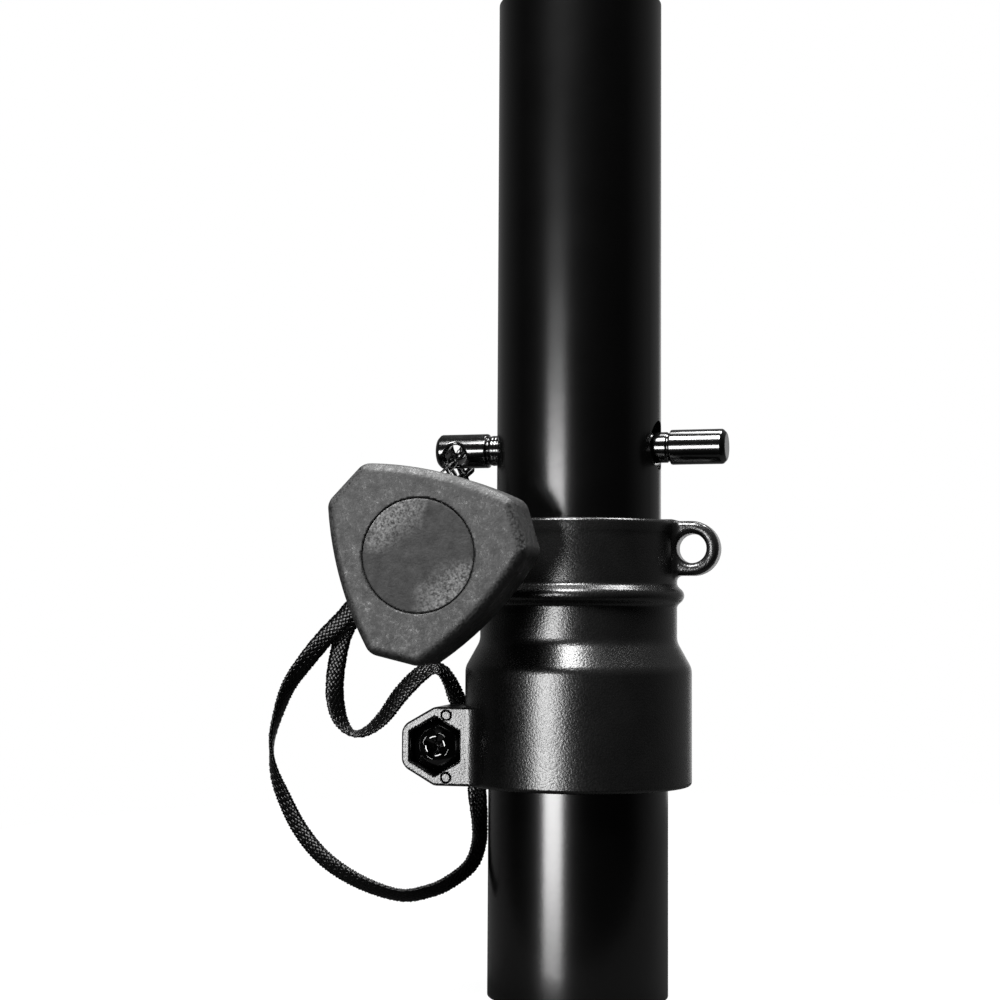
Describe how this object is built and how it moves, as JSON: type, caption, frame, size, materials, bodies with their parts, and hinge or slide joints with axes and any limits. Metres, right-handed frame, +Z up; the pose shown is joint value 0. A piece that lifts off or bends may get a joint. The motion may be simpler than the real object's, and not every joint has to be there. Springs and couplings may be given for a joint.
{
  "type": "telescopic pole clamp joint",
  "caption": "Telescopic pole joint of a loudspeaker stand: sliding tubes, split clamp collar with a three-sided knob, safety pin on a braided lanyard, and a cable eye.",
  "frame": {"origin": "on the pole's axis, at the lower end face of the lower tube", "axes": "+Z up along the pole, the knob faces -Y, the cable eye faces +X and the clamp lugs face -X"},
  "size_m": [0.1005, 0.0672, 0.211],
  "materials": {
    "tube_black": "smooth semi-gloss black powder coat",
    "collar_nylon": "fine-grained black moulded nylon, semi-gloss",
    "knob_plastic": "mottled matte dark grey moulded plastic",
    "cap_plastic": "grained matte dark grey moulded plastic with paler rubbed patches",
    "black_steel": "glossy blackened steel",
    "plated_steel": "zinc plated",
    "bush_nylon": "natural white nylon",
    "glide_plastic": "black moulded plastic",
    "ring_nylon": "blue nylon",
    "lanyard_braid": "flat open braid of black filament"
  },
  "bodies": {
    "stand": {"lower_tube": "tube_black", "guide_bush": "bush_nylon", "clamp_collar": "collar_nylon", "cable_eye": "collar_nylon", "clamp_bolt": "black_steel", "clamp_washer": "plated_steel", "clamp_nut": "plated_steel", "nut_ring": "ring_nylon", "knob_nut": "plated_steel", "lanyard_outer": "lanyard_braid", "lanyard_front": "lanyard_braid", "lanyard_eye": "lanyard_braid", "lanyard_back": "lanyard_braid", "lanyard_inner": "lanyard_braid"},
    "knob_carrier": {"knob_washer": "plated_steel"},
    "knob": {"knob_grip": "knob_plastic", "knob_cap": "cap_plastic", "knob_bolt": "plated_steel"},
    "glide": {"glide_plug": "glide_plastic"},
    "upper_pole": {"upper_tube": "tube_black"},
    "pin": {"safety_pin": "black_steel"}
  },
  "joints": [
    {"name": "pole_slide", "type": "slide", "parent": "stand", "child": "glide", "axis": [0, 0, 1], "range_m": [-0.011, 0.049], "deforming": ["lanyard_outer", "lanyard_inner"]},
    {"name": "pole_turn", "type": "hinge", "parent": "glide", "child": "upper_pole", "pos_m": [0, 0, 0], "axis": [0, 0, 1], "range_deg": [-70, 10], "deforming": ["lanyard_front", "lanyard_back"]},
    {"name": "pin_pull", "type": "slide", "parent": "upper_pole", "child": "pin", "axis": [-0.9962, 0.0872, 0], "range_m": [0, 0.062], "deforming": ["lanyard_eye"]},
    {"name": "knob_travel", "type": "slide", "parent": "stand", "child": "knob_carrier", "axis": [0, -1, 0], "range_m": [0, 0.0025]},
    {"name": "knob_turn", "type": "hinge", "parent": "knob_carrier", "child": "knob", "pos_m": [-0.0243, 0, 0.0909], "axis": [0, -1, 0], "range_deg": [0, 720]}
  ],
  "couplings": [
    {"joint": "knob_turn", "follows": "knob_travel", "rad_per_m": 5026.5}
  ]
}
